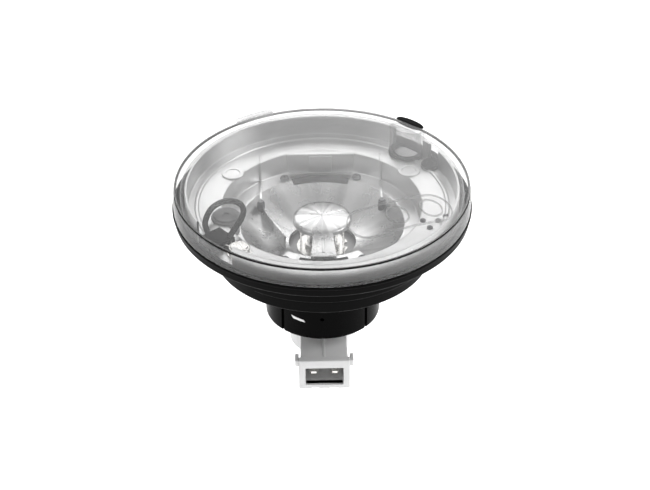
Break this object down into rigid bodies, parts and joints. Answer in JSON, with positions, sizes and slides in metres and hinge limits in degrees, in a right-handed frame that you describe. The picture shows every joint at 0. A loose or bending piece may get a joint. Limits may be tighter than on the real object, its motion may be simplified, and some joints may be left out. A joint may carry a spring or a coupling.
{
  "type": "underwater pool light",
  "caption": "Round sealed underwater light with a clear crowned lens, plated reflector bowl, black stepped housing, twist locking collar and white right-angle two-blade plug",
  "frame": {"origin": "centre of the flat seat face under the rim, where the locating spigot begins", "axes": "+Z along the light's axis towards the lens; the plug's mouth faces -Y"},
  "size_m": [0.1056, 0.1056, 0.0799],
  "materials": {
    "clear_plastic": "clear moulded polycarbonate, polished",
    "black_plastic": "black moulded, satin",
    "collar_plastic": "black moulded, semi-gloss",
    "white_plastic": "white moulded, semi-gloss",
    "grey_plastic": "grey moulded",
    "plated": "vacuum plated, bright",
    "black_rubber": "matt",
    "dark_steel": "blackened",
    "nickel": "nickel plated",
    "brass": "bright",
    "tungsten": "drawn wire",
    "bulb_glass": "clear"
  },
  "bodies": {
    "root": {"housing": "black_plastic", "lens": "clear_plastic", "lens_seal": "black_rubber", "rim_plug": "black_rubber", "reflector": "plated", "reflector_screws": "dark_steel", "glare_shield": "plated", "bowl_studs": "dark_steel", "post_washer": "black_rubber", "thermal_cutout": "nickel", "cutout_bracket": "collar_plastic", "cutout_lead": "black_rubber", "cutout_pins": "nickel", "vent_plug": "black_rubber", "membrane_cap": "grey_plastic", "plate_rivets": "dark_steel"},
    "bulb_holder": {"bulb_glass": "bulb_glass", "bulb_filament": "tungsten", "bulb_pins": "brass", "bulb_base_disc": "nickel", "base_spring_clip": "nickel", "bulb_holder": "white_plastic", "holder_seal": "black_rubber", "contact_blade_left": "brass", "contact_blade_right": "brass", "terminal_strip_left": "brass", "terminal_strip_right": "brass", "plug_shell": "white_plastic"},
    "locking_collar": {"locking_collar": "collar_plastic"}
  },
  "joints": [
    {"name": "collar_turn", "type": "hinge", "parent": "root", "child": "locking_collar", "pos_m": [0, 0, -0.031], "axis": [0, 0, -1], "range_deg": [0, 45]},
    {"name": "holder_drop", "type": "slide", "parent": "root", "child": "bulb_holder", "axis": [0, 0, -1], "range_m": [0, 0.0012]}
  ],
  "couplings": [
    {"joint": "holder_drop", "follows": "collar_turn", "m_per_rad": 0.001527}
  ]
}
